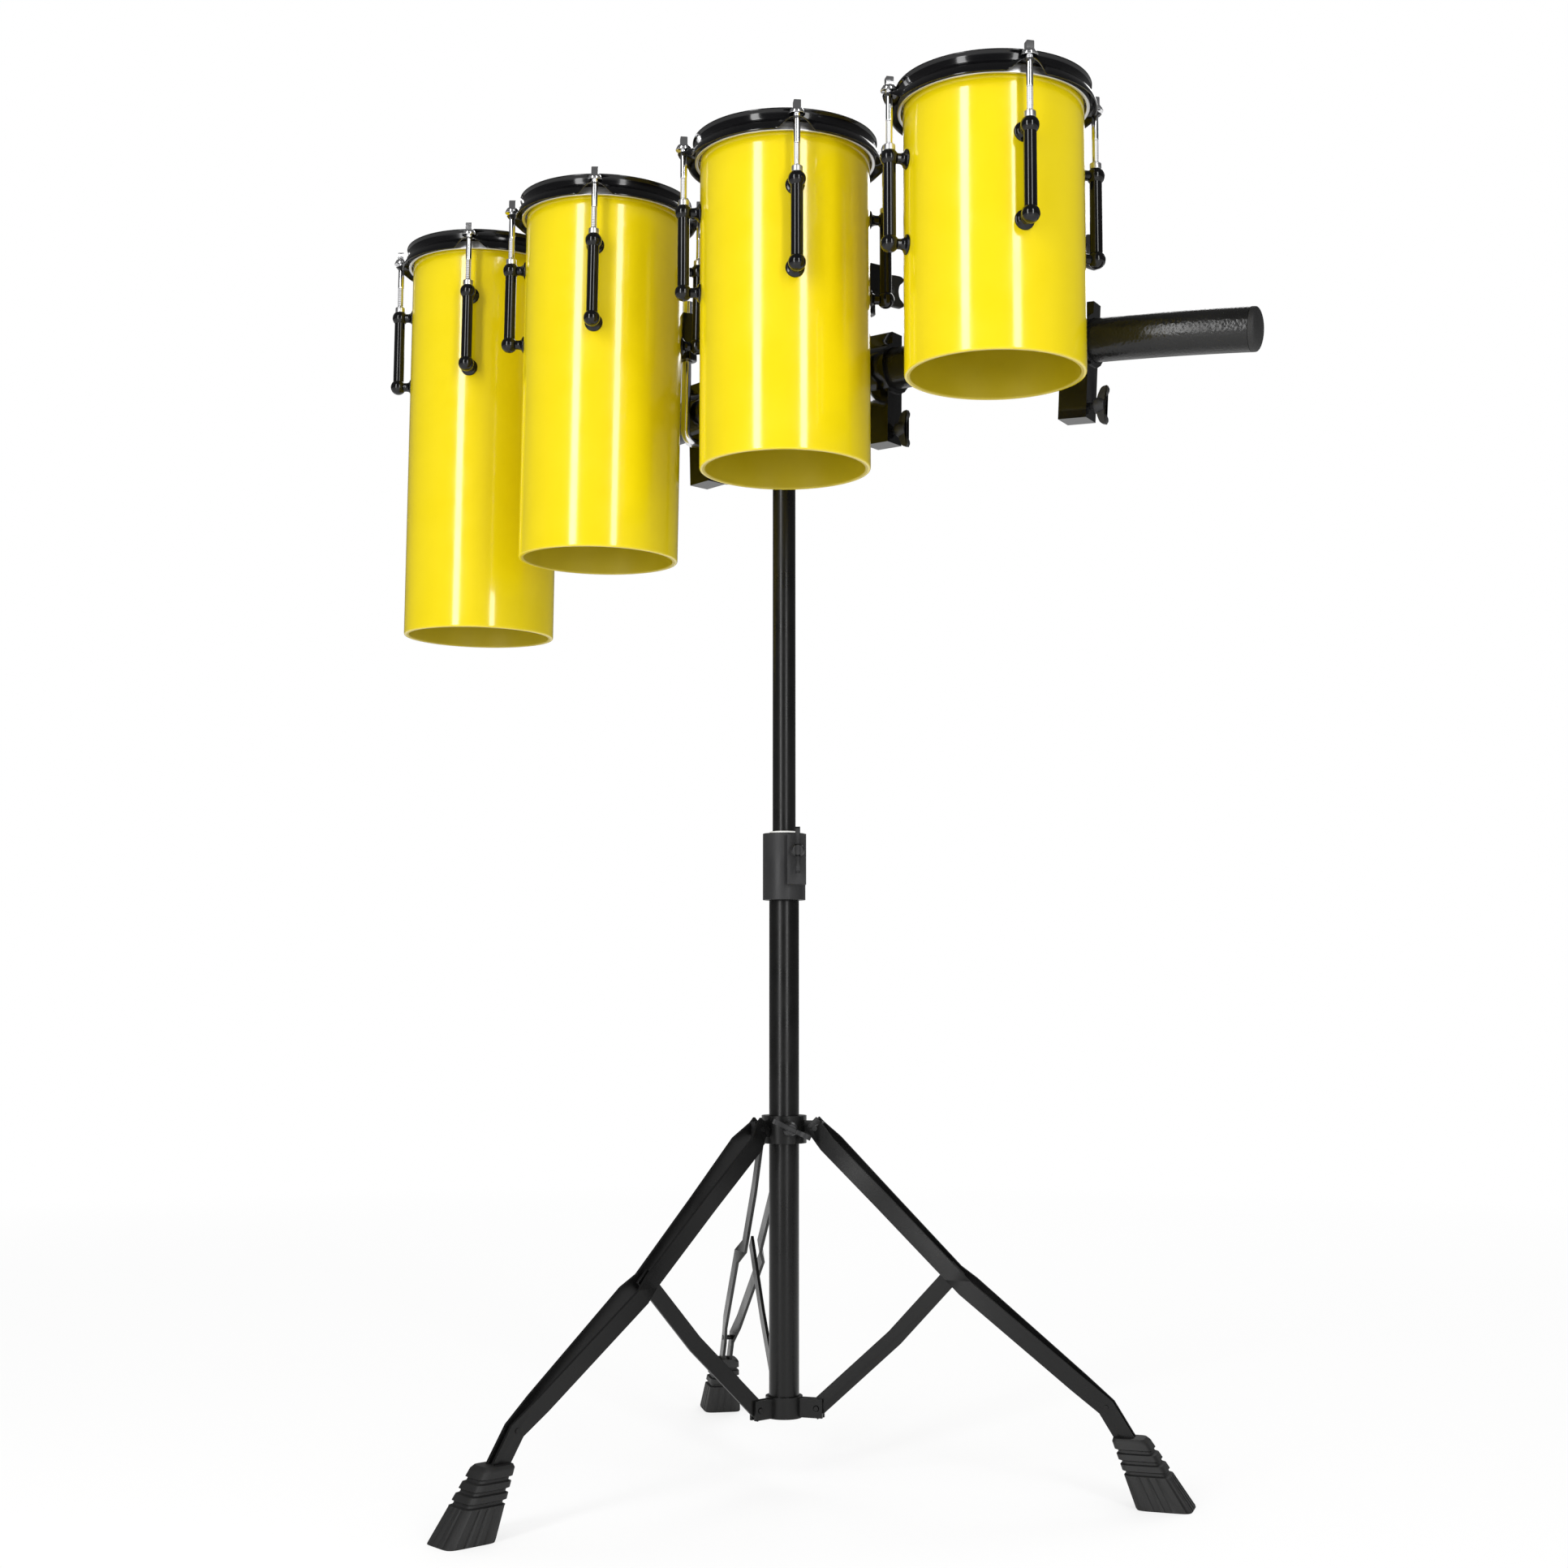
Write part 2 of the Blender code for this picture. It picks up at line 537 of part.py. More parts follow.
def drum_group(number, station, length, top, lean, front):
    tag = "_%d" % number
    clamp = station_frame(station, False)
    level = station_frame(station, True)
    holder = Matrix.Translation(clamp @ Vector((0, 0, -rod_drop))) @ level.to_3x3().to_4x4()
    leaned = holder @ Matrix.Rotation(math.radians(lean), 4, "Y")
    ground = leaned.translation.z
    rod_line = leaned @ Matrix.Translation((0, -rod_front, 0))
    roll = joint_empty("clamp_roll" + tag, clamp)
    tilt = joint_empty("rod_tilt" + tag, holder)
    lift = joint_empty("lock_slide" + tag, rod_line)
    turn = joint_empty("drum_turn" + tag, rod_line)

    curve_piece("l_rod" + tag, chrome, rod_points(rod_top - ground), rod_radius, 2, leaned, tilt)
    bore = rod_radius + clearance
    high = bracket_low - clearance - ground
    piece("memory_lock" + tag, gloss_black, rod_line, parent=lift,
          profile=tube_profile(lock_radius, bore, high - lock_height, high), steps=16)

    centre = leaned @ Matrix.Translation((-drum_side, drum_front * -1, top - ground))
    face = centre.to_3x3().inverted() @ Vector((math.sin(math.radians(front)),
                                                -math.cos(math.radians(front)), 0))
    drum = centre @ spin(math.degrees(math.atan2(face.y, face.x)) + 90)
    piece("shell" + tag, yellow, drum, steps=shell_steps, add=lug_set, parent=turn,
          profile=tube_profile(shell_radius, shell_radius - shell_wall, -length, 0))
    bpy.data.objects["shell" + tag + "_union"].data.materials.append(gloss_black)
    piece("head" + tag, film, drum, profile=head_profile(), closed=False, steps=shell_steps, parent=turn)
    piece("rim" + tag, gloss_black, drum, profile=rim_profile(), steps=shell_steps, add=rod_set,
          parent=turn)

    aim = math.degrees(math.atan2(drum_front - rod_front, drum_side))
    side = centre @ spin(aim)
    reach = math.hypot(drum_front - rod_front, drum_side)
    low, up = bracket_low - top, bracket_high - top
    mid = (low + up) / 2

    def block(shape):
        box(shape, (shell_radius + clearance, -bracket_half, low), (reach + 9 * mm, bracket_half, up))

    def nose(shape):
        box(shape, (reach + 7 * mm, -9 * mm, low + 4 * mm), (reach + 14 * mm, 9 * mm, up - 4 * mm))

    def bracket_bores(shape):
        rod(shape, (reach, 0, low - mm), (reach, 0, up + mm), bore, 16)
        rod(shape, (reach, 0, mid), (reach + 20 * mm, 0, mid), 3 * mm + clearance, 12)

    piece("bracket" + tag, gloss_black, side, build=block, add=nose, cut=bracket_bores, parent=turn)
    bolt = side @ Matrix.Translation((reach, 0, mid))
    winged("bracket_wing" + tag, bolt, bore + clearance, 22 * mm, 22 * mm, 15 * mm,
           joint_empty("bracket_wing_turn" + tag, bolt))

    def collar(shape):
        rod(shape, (-clamp_half, 0, 0), (clamp_half, 0, 0), clamp_radius, 20)

    def block_and_ears(shape):
        box(shape, (-13 * mm, -11 * mm, -block_low), (13 * mm, 12 * mm, -15 * mm))
        box(shape, (-clamp_half, -7 * mm, 15 * mm), (clamp_half, 9 * mm, 33 * mm))

    def clamp_bores(shape):
        rod(shape, (-30 * mm, 0, 0), (30 * mm, 0, 0), rack_radius + 1.5 * clearance, 24)
        rod(shape, (0, -30 * mm, -rod_drop), (0, 40 * mm, -rod_drop), bore, 16)
        rod(shape, (0, 0, -clamp_wing_drop), (20 * mm, 0, -clamp_wing_drop), 3 * mm + clearance, 12)

    piece("clamp" + tag, gloss_black, clamp, build=collar, add=block_and_ears, cut=clamp_bores,
          parent=roll)
    key = clamp @ Matrix.Translation((0, 0, -clamp_wing_drop))
    winged("clamp_wing" + tag, key, 2 * mm, 17 * mm, 12 * mm, 17 * mm,
           joint_empty("clamp_wing_turn" + tag, key))


def shade_round():
    for obj in parts.objects:
        if obj.type == "MESH":
            for face in obj.data.polygons:
                face.use_smooth = True


height_group()
hub_group()
leg_group()
rack_group()
for values in zip(range(1, 5), stations, shell_lengths, shell_tops, leans, front_lugs):
    drum_group(*values)
shade_round()
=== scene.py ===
import json
import math

import bmesh
import bpy
from mathutils import Matrix, Vector


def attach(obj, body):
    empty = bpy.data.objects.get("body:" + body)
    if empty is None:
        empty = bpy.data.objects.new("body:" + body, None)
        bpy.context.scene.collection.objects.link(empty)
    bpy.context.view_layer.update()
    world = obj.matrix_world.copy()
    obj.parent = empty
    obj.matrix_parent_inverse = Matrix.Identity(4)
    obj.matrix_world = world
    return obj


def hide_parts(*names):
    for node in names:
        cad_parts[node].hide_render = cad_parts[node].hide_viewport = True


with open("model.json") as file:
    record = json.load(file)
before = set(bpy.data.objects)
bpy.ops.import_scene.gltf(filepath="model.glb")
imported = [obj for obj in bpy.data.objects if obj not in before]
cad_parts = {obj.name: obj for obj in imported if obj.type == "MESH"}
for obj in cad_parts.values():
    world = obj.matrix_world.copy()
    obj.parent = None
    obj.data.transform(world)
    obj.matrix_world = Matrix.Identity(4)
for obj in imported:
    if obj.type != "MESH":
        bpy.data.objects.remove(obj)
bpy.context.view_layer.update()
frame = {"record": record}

mm = 0.001
bodyOf = {node: body for body, nodes in frame["record"]["behaviour"]["bodies"].items() for node in nodes}
jointOf = {joint["name"]: joint for joint in frame["record"]["behaviour"]["joints"]}

# View and light, as a user would set them
studio = {
    "cameraPlace": (4.4 * mm, -2066.5 * mm, 454 * mm),
    "cameraTilt": 94.63,
    "lens": 49.53,
    "shift": 0.0238,
    "worldStrength": 0.7,
    "reflectedStrength": 0.12,
    "floorFade": (0.9, 3.2),
    "floorColor": (0.93, 0.93, 0.93, 1),
}
drumSize = {
    "shellRadius": 76.2, "wall": 5, "lengths": (394, 342, 290, 238), "tops": (1216, 1212, 1210, 1209),
    "frontLugs": (-3.8, -1.8, 6.4, 13.0), "side": 29.4, "front": 112, "rodFront": 29, "rodTop": 1136,
    "rodRadius": 4.75, "rodBend": 12, "rodTail": 22, "lugReach": 91.2, "lugHigh": 59, "lugLow": 132,
    "ballRadius": 7.8, "lugRadius": 5.4, "lockRadius": 10, "lockHeight": 13, "bracketLow": 1090,
}
rackSize = {"radius": 19.05, "bend": 1528, "half": 500, "turn": -41.93, "rise": 1.08, "tip": -17.8}
footSize = {"reach": 359, "neck": 327, "around": 96, "angles": (-18.6, 101.4, 221.4)}
tubeSize = {"lower": 14.3, "upper": 11.1, "bottom": 60, "top": 552, "mastBottom": 320, "mastTop": 1072}


# Materials
def socket(group, name, kind, side, value=None):
    made = group.interface.new_socket(name=name, in_out=side, socket_type="NodeSocket" + kind)
    if value is not None:
        made.default_value = value


def makeGrain():
    # Two layers of noise: a mask from 0 to 1, and a height for bump.
    group = bpy.data.node_groups.new("grainLayers", "ShaderNodeTree")
    socket(group, "Coarse", "Float", "INPUT", 30)
    socket(group, "Fine", "Float", "INPUT", 400)
    socket(group, "Mask", "Float", "OUTPUT")
    socket(group, "Height", "Float", "OUTPUT")
    nodes, links = group.nodes, group.links
    start, end = nodes.new("NodeGroupInput"), nodes.new("NodeGroupOutput")
    place = nodes.new("ShaderNodeTexCoord")
    coarse, fine = nodes.new("ShaderNodeTexNoise"), nodes.new("ShaderNodeTexNoise")
    coarse.inputs["Detail"].default_value = 5
    fine.inputs["Detail"].default_value = 2
    links.new(place.outputs["Object"], coarse.inputs["Vector"])
    links.new(place.outputs["Object"], fine.inputs["Vector"])
    links.new(start.outputs["Coarse"], coarse.inputs["Scale"])
    links.new(start.outputs["Fine"], fine.inputs["Scale"])
    links.new(coarse.outputs["Fac"], end.inputs["Mask"])
    links.new(fine.outputs["Fac"], end.inputs["Height"])
    return group


grainGroup = makeGrain()


def makeFinish(name, low, high, rough, metallic=0.0, coarse=30, fine=400, bump=0.02, coat=0.0,
               dents=0.0, depth=0.0004, shine=0.5):
    # Colour and roughness run between two values over the grain; dents adds a hammered surface.
    made = bpy.data.materials.new(name)
    made.use_nodes = True
    nodes, links = made.node_tree.nodes, made.node_tree.links
    shader = nodes["Principled BSDF"]
    shader.inputs["Metallic"].default_value = metallic
    shader.inputs["Coat Weight"].default_value = coat
    shader.inputs["Coat Roughness"].default_value = 0.04
    shader.inputs["Specular IOR Level"].default_value = shine
    grain = nodes.new("ShaderNodeGroup")
    grain.node_tree = grainGroup
    grain.inputs["Coarse"].default_value = coarse
    grain.inputs["Fine"].default_value = fine
    color = nodes.new("ShaderNodeMix")
    color.data_type = "RGBA"
    color.inputs[6].default_value = (*low, 1)
    color.inputs[7].default_value = (*high, 1)
    links.new(grain.outputs["Mask"], color.inputs["Factor"])
    links.new(color.outputs[2], shader.inputs["Base Color"])
    spread = nodes.new("ShaderNodeMapRange")
    spread.inputs["From Min"].default_value, spread.inputs["From Max"].default_value = 0.3, 0.7
    spread.inputs["To Min"].default_value, spread.inputs["To Max"].default_value = rough
    links.new(grain.outputs["Mask"], spread.inputs["Value"])
    links.new(spread.outputs["Result"], shader.inputs["Roughness"])
    relief = nodes.new("ShaderNodeBump")
    relief.inputs["Strength"].default_value = bump
    relief.inputs["Distance"].default_value = depth
    height = grain.outputs["Height"]
    if dents:
        place, cells = nodes.new("ShaderNodeTexCoord"), nodes.new("ShaderNodeTexVoronoi")
        cells.feature = "SMOOTH_F1"
        cells.inputs["Scale"].default_value = dents
        links.new(place.outputs["Object"], cells.inputs["Vector"])
        height = cells.outputs["Distance"]
    links.new(height, relief.inputs["Height"])
    links.new(relief.outputs["Normal"], shader.inputs["Normal"])
    return made


yellow = makeFinish("glossYellow", (0.70, 0.545, 0.002), (0.75, 0.59, 0.004), (0.13, 0.2), coat=0.35, bump=0.015)
# The shell's inside: the same yellow darkened as painted shade for the hollow of the tube, with a rougher finish.
paintedShadeInsideYellow = makeFinish("paintedShadeInsideYellow", (0.42, 0.32, 0.002), (0.50, 0.39, 0.004), (0.35, 0.5), bump=0.05)
glossBlack = makeFinish("glossBlack", (0.002, 0.002, 0.0025), (0.004, 0.004, 0.0045), (0.1, 0.18), coat=0.2,
                        shine=0.3)
standBlack = makeFinish("standBlack", (0.003, 0.003, 0.003), (0.006, 0.006, 0.006), (0.24, 0.36), bump=0.05,
                        shine=0.3)
hammered = makeFinish("hammeredBlack", (0.004, 0.004, 0.004), (0.009, 0.009, 0.009), (0.22, 0.32),
                      dents=420, bump=0.5, depth=0.0005, shine=0.4)
castGrey = makeFinish("castGrey", (0.012, 0.012, 0.013), (0.026, 0.026, 0.027), (0.4, 0.55), metallic=0.2,
                      fine=900, bump=0.2)
chrome = makeFinish("chrome", (0.78, 0.78, 0.80), (0.86, 0.86, 0.87), (0.05, 0.12), metallic=1.0, bump=0.01)
satin = makeFinish("satinAluminium", (0.62, 0.62, 0.63), (0.74, 0.74, 0.75), (0.28, 0.4), metallic=1.0,
                   fine=1500, bump=0.05)
film = makeFinish("headFilm", (0.80, 0.80, 0.79), (0.88, 0.88, 0.86), (0.35, 0.5), fine=1200, bump=0.1)
nylon = makeFinish("whiteNylon", (0.80, 0.80, 0.78), (0.88, 0.88, 0.86), (0.4, 0.5))
rubber = makeFinish("blackRubber", (0.006, 0.006, 0.006), (0.014, 0.014, 0.014), (0.5, 0.7), fine=1300,
                    bump=0.3)
print("materials made")


# Mesh tools: every piece is made in the world's own place
def finishMesh(name, shape, looks, place=None, angle=35):
    mesh = bpy.data.meshes.new(name)
    bmesh.ops.remove_doubles(shape, verts=shape.verts, dist=1e-6)
    bmesh.ops.recalc_face_normals(shape, faces=shape.faces)
    shape.to_mesh(mesh)
    shape.free()
    if place:
        mesh.transform(place)
    mesh.shade_smooth()
    mesh.set_sharp_from_angle(angle=math.radians(angle))
    for look in looks:
        mesh.materials.append(look)
    made = bpy.data.objects.new(name, mesh)
    bpy.context.scene.collection.objects.link(made)
    return made


def rounded(points, radius, closed=True, steps=4):
    # Round a profile's corners, each with a short curve.
    made, count = [], len(points)
    for i, corner in enumerate(points):
        if not closed and i in (0, count - 1):
            made.append(corner)
            continue
        here = Vector(corner)
        before, after = Vector(points[i - 1]) - here, Vector(points[(i + 1) % count]) - here
        a = here + before * min(radius / before.length, 0.45)
        b = here + after * min(radius / after.length, 0.45)
        for k in range(steps + 1):
            u = k / steps
            made.append(tuple((1 - u) ** 2 * a + 2 * u * (1 - u) * here + u * u * b))
    return made


def addTurned(shape, points, closed=True, segments=64, warp=None, place=None, look=0):
    # Turn a profile of (radius, height) in mm about Z.
    rings = []
    for r, z in points:
        ring = []
        for i in range(1 if r < 1e-6 else segments):
            angle = 2 * math.pi * i / segments
            radius, height = warp(r, z, angle) if warp else (r, z)
            spot = Vector((radius * math.cos(angle), radius * math.sin(angle), height)) * mm
            ring.append(shape.verts.new(place @ spot if place else spot))
        rings.append(ring)
    pairs = list(zip(rings, rings[1:])) + ([(rings[-1], rings[0])] if closed else [])
    for upper, lower in pairs:
        for i in range(segments):
            j = (i + 1) % segments
            corners = [upper[i % len(upper)], upper[j % len(upper)], lower[j % len(lower)], lower[i % len(lower)]]
            unique = list(dict.fromkeys(corners))
            if len(unique) > 2:
                shape.faces.new(unique).material_index = look


def tubePoints(radius, inner, low, high):
    return [(radius, high), (radius, low), (inner, low), (inner, high)]


def rodPoints(radius, low, high):
    return [(0, high), (radius, high), (radius, low), (0, low)]


def turned(name, points, look, place, closed=True, segments=64, warp=None):
    shape = bmesh.new()
    addTurned(shape, points, closed, segments, warp)
    return finishMesh(name, shape, [look], place)


def swept(name, points, radius, look, fineness=8):
    line = bpy.data.curves.new(name, "CURVE")
    line.dimensions = "3D"
    line.bevel_depth = radius
    line.bevel_resolution = fineness
    line.use_fill_caps = True
    run = line.splines.new("POLY")
    run.points.add(len(points) - 1)
    for point, place in zip(run.points, points):
        point.co = (*place, 1)
    guide = bpy.data.objects.new(name + "Guide", line)
    bpy.context.scene.collection.objects.link(guide)
    bpy.context.view_layer.update()
    mesh = bpy.data.meshes.new_from_object(guide.evaluated_get(bpy.context.evaluated_depsgraph_get()))
    shape = bmesh.new()
    shape.from_mesh(mesh)
    bpy.data.objects.remove(guide)
    return finishMesh(name, shape, [look])


def standFor(piece, slotName, *nodes):
    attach(piece, bodyOf[nodes[0]])
    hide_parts(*nodes)
    return piece


def softened(node, look, slotName, width=0.6, angle=30):
    # A copy of a node's solid with merged corners and rounded edges.
    source = bpy.data.objects[node]
    shape = bmesh.new()
    shape.from_mesh(source.data)
    bmesh.ops.remove_doubles(shape, verts=shape.verts, dist=2e-6)
    bmesh.ops.dissolve_limit(shape, angle_limit=math.radians(1), verts=shape.verts, edges=shape.edges)
    piece = finishMesh(node + "Finished", shape, [look])
    edge = piece.modifiers.new("softEdges", "BEVEL")
    edge.width = width * mm
    edge.segments = 3
    edge.limit_method = "ANGLE"
    edge.angle_limit = math.radians(angle)
    edge.harden_normals = False
    return standFor(piece, slotName, node)


wingShape = {"thick": 4.6, "outline": ((2, 0), (2, 0.4), (3.5, 0.66), (6, 0.95), (11, 1), (0.86, 1), (1, 0.86),
                                       (0.97, 0.66), (0.76, 0.42), (0.7, 0))}


def makeWing(node, joint):
    # A wing bolt with two rounded lobes, sized from the CAD solid it stands for.
    source, record = bpy.data.objects[node], jointOf[joint]
    origin, along = Vector(record["pos_m"]), Vector(record["axis"]).normalized()
    points = [v.co - origin for v in source.data.vertices]
    spans = [(p.dot(along) / mm, p - p.dot(along) * along) for p in points]
    widest = max(flat.length for _, flat in spans)
    corners = [(x, flat) for x, flat in spans if flat.length > 0.97 * widest]
    first = corners[0][1]
    axis = sum((c if c.dot(first) > 0 else -c for _, c in corners), Vector()).normalized()
    shank = [x for x, flat in spans if flat.length < 3.2 * mm]
    flip = 1 if sum(x for x, _ in corners) / len(corners) > sum(shank) / len(shank) else -1
    start, end = min(x * flip for x, _ in spans), max(x * flip for x, _ in spans)
    hub = min(x * flip for x, flat in spans if flat.length > 5 * mm)
    tall, shape = max(abs(flat.dot(axis)) for _, flat in spans) / mm, bmesh.new()
    addTurned(shape, rounded([(0, hub + 9), (5, hub + 9), (6.9, hub + 4), (6.9, hub), (3, hub), (3, start), (0, start)],
                             0.8, False, 3), False, 32)
    near = [(hub + x if x > 1 else hub + x * (end - hub), z * tall) for x, z in wingShape["outline"]]
    line = rounded(near + [(x, -z) for x, z in near[-2:0:-1]], 2.4, True, 4)
    sides = [[shape.verts.new(Vector((z, y * wingShape["thick"] / 2, x)) * mm) for x, z in line] for y in (-1, 1)]
    shape.faces.new(sides[0])
    shape.faces.new(sides[1][::-1])
    for i in range(len(line)):
        j = (i + 1) % len(line)
        shape.faces.new((sides[0][i], sides[1][i], sides[1][j], sides[0][j]))
    place = axesAlong(origin, along * flip, axis)
    piece = finishMesh(node + "Finished", shape, [castGrey], place)
    edge = piece.modifiers.new("softEdges", "BEVEL")
    edge.width, edge.segments, edge.limit_method, edge.angle_limit = 0.7 * mm, 2, "ANGLE", math.radians(50)
    return standFor(piece, "cast_grey", node)


# Geometry Nodes: one piece repeated round a circle, outward along +X
def makeRing():
    tree = bpy.data.node_groups.new("ringOfPieces", "GeometryNodeTree")
    socket(tree, "Geometry", "Geometry", "INPUT")
    socket(tree, "Piece", "Object", "INPUT")
    socket(tree, "Count", "Int", "INPUT", 4)
    socket(tree, "Radius", "Float", "INPUT", 0.0912)
    socket(tree, "Look", "Material", "INPUT")
    socket(tree, "Geometry", "Geometry", "OUTPUT")
    nodes, links = tree.nodes, tree.links
    start, end = nodes.new("NodeGroupInput"), nodes.new("NodeGroupOutput")
    circle, info = nodes.new("GeometryNodeMeshCircle"), nodes.new("GeometryNodeObjectInfo")
    spread, whole = nodes.new("GeometryNodeInstanceOnPoints"), nodes.new("GeometryNodeRealizeInstances")
    index, share, turnBy = nodes.new("GeometryNodeInputIndex"), nodes.new("ShaderNodeMath"), nodes.new("ShaderNodeMath")
    axis, paint = nodes.new("ShaderNodeCombineXYZ"), nodes.new("GeometryNodeSetMaterial")
    share.operation, turnBy.operation = "DIVIDE", "MULTIPLY"
    share.inputs[0].default_value = 2 * math.pi
    links.new(start.outputs["Count"], circle.inputs["Vertices"])
    links.new(start.outputs["Radius"], circle.inputs["Radius"])
    links.new(start.outputs["Piece"], info.inputs["Object"])
    links.new(start.outputs["Count"], share.inputs[1])
    links.new(index.outputs[0], turnBy.inputs[0])
    links.new(share.outputs[0], turnBy.inputs[1])
    links.new(turnBy.outputs[0], axis.inputs["Z"])
    links.new(circle.outputs["Mesh"], spread.inputs["Points"])
    links.new(info.outputs["Geometry"], spread.inputs["Instance"])
    links.new(axis.outputs[0], spread.inputs["Rotation"])
    links.new(spread.outputs["Instances"], whole.inputs["Geometry"])
    links.new(whole.outputs["Geometry"], paint.inputs["Geometry"])
    links.new(start.outputs["Look"], paint.inputs["Material"])
    links.new(paint.outputs["Geometry"], end.inputs["Geometry"])
    return tree


ringTree = makeRing()


def ringOf(name, source, look, place, count=4, radius=drumSize["lugReach"] * mm):
    holder = bpy.data.objects.new(name + "Ring", bpy.data.meshes.new(name + "Ring"))
    bpy.context.scene.collection.objects.link(holder)
    change = holder.modifiers.new("ring", "NODES")
    change.node_group = ringTree
    values = {"Piece": source, "Count": count, "Radius": radius, "Look": look}
    for item in ringTree.interface.items_tree:
        if item.in_out == "INPUT" and item.name in values:
            change[item.identifier] = values[item.name]
    bpy.context.view_layer.update()
    mesh = bpy.data.meshes.new_from_object(holder.evaluated_get(bpy.context.evaluated_depsgraph_get()))
    shape = bmesh.new()
    shape.from_mesh(mesh)
    bpy.data.objects.remove(holder)
    return finishMesh(name, shape, [look], place)


# Places on the rack and in each drum
def spin(angle):
    return Matrix.Rotation(math.radians(angle), 4, "Z")


def rackPoint(distance):
    joint = jointOf["rack_tilt"]
    along = Vector(joint["axis"]).normalized()
    across = Vector((0, 0, 1)).cross(along).normalized()
    tip = math.radians(rackSize["tip"])
    inward = math.cos(tip) * across + math.sin(tip) * along.cross(across)
    bend, radius = distance / rackSize["bend"], rackSize["bend"] * mm
    return Vector(joint["pos_m"]) + radius * (math.sin(bend) * along + (1 - math.cos(bend)) * inward)


def axesAlong(origin, z, x):
    z = Vector(z).normalized()
    x = (Vector(x) - Vector(x).dot(z) * z).normalized()
    return Matrix.Translation(origin) @ Matrix((x, z.cross(x), z)).transposed().to_4x4()


def rodFrame(letter):
    # Foot of the upright rod: Z up along it, Y back across the tube.
    turnJoint, tilt = jointOf["drum_turn_" + letter], jointOf["rod_tilt_" + letter]
    up, back = Vector(turnJoint["axis"]).normalized(), Vector(tilt["axis"]).normalized()
    return axesAlong(turnJoint["pos_m"], up, back.cross(up))


def drumFrame(number, letter):
    # Centre of the shell's top, with X towards the front lug.
    rod = rodFrame(letter)
    rise = drumSize["tops"][number] * mm - rod.translation.z
    shift = Vector((-drumSize["side"], drumSize["rodFront"] - drumSize["front"], 0)) * mm
    centre = rod @ Matrix.Translation(shift + Vector((0, 0, rise)))
    front = math.radians(drumSize["frontLugs"][number])
    return axesAlong(centre.translation, centre.col[2].to_3d(), (math.sin(front), -math.cos(front), 0))


# One drum's pieces
def makeLugSource():
    shape = bmesh.new()
    high, low, reach = -drumSize["lugHigh"], -drumSize["lugLow"], drumSize["lugReach"]
    addTurned(shape, rounded(rodPoints(drumSize["lugRadius"], low, high), 1, False), False, 20)
    for height in (high, low):
        bmesh.ops.create_uvsphere(shape, u_segments=24, v_segments=16, radius=drumSize["ballRadius"] * mm,
                                  matrix=Matrix.Translation((0, 0, height * mm)))
        inward = Matrix.Translation((0, 0, height * mm)) @ Matrix.Rotation(math.radians(-90), 4, "Y")
        foot = reach - drumSize["shellRadius"] + 0.6
        post = [(0, 0), (4.5, 0), (4.4, foot - 6), (5.4, foot - 3.6), (8.5, foot - 2), (8.5, foot), (0, foot)]
        addTurned(shape, rounded(post, 1.2, False), False, 24, place=inward)
    return finishMesh("lugSource", shape, [glossBlack])


def makeRodSource():
    # Square key head, flanged washer and a shank with a thread.
    shape = bmesh.new()
    shank = [(0, 2), (3, 2), (3, -26)]
    for turn in range(16):
        shank += [(3, -27 - 1.5 * turn), (2.55, -27.75 - 1.5 * turn)]
    addTurned(shape, shank + [(0, -52)], False, 16)
    addTurned(shape, rounded([(0, 2.6), (5.2, 2.6), (6.6, 0.2), (6.6, -1.0), (0, -1.0)], 0.5, False), False, 28)
    addTurned(shape, rounded([(0, -1.0), (7.2, -1.0), (7.2, -2.3), (0, -2.3)], 0.4, False), False, 28)
    key = [(0, 10), (4.1, 10), (4.5, 9.2), (4.5, 2), (0, 2)]
    addTurned(shape, key, False, 4, place=spin(45))
    return finishMesh("rodSource", shape, [chrome])


def makeCollarSource():
    shape = bmesh.new()
    top = -drumSize["lugHigh"] + drumSize["ballRadius"]
    addTurned(shape, rounded([(0, top + 3.2), (5, top + 3.2), (5, top - 2), (0, top - 2)], 0.6, False), False, 24)
    return finishMesh("collarSource", shape, [satin])


def rimWarp(r, z, angle):
    # The lower flange rises and reaches out into an ear at each quarter.
    quarter = math.pi / 2
    away = abs((angle + quarter / 2) % quarter - quarter / 2) * r
    lift = max(0.0, 1 - (away / 17) ** 2) ** 1.5
    if z > -2.4:
        return r, z
    share = lift * min(1.0, (-2.4 - z) / 3)
    return r + (r - 78) * 1.0 * share, z + (-3.2 - z) * 0.8 * share


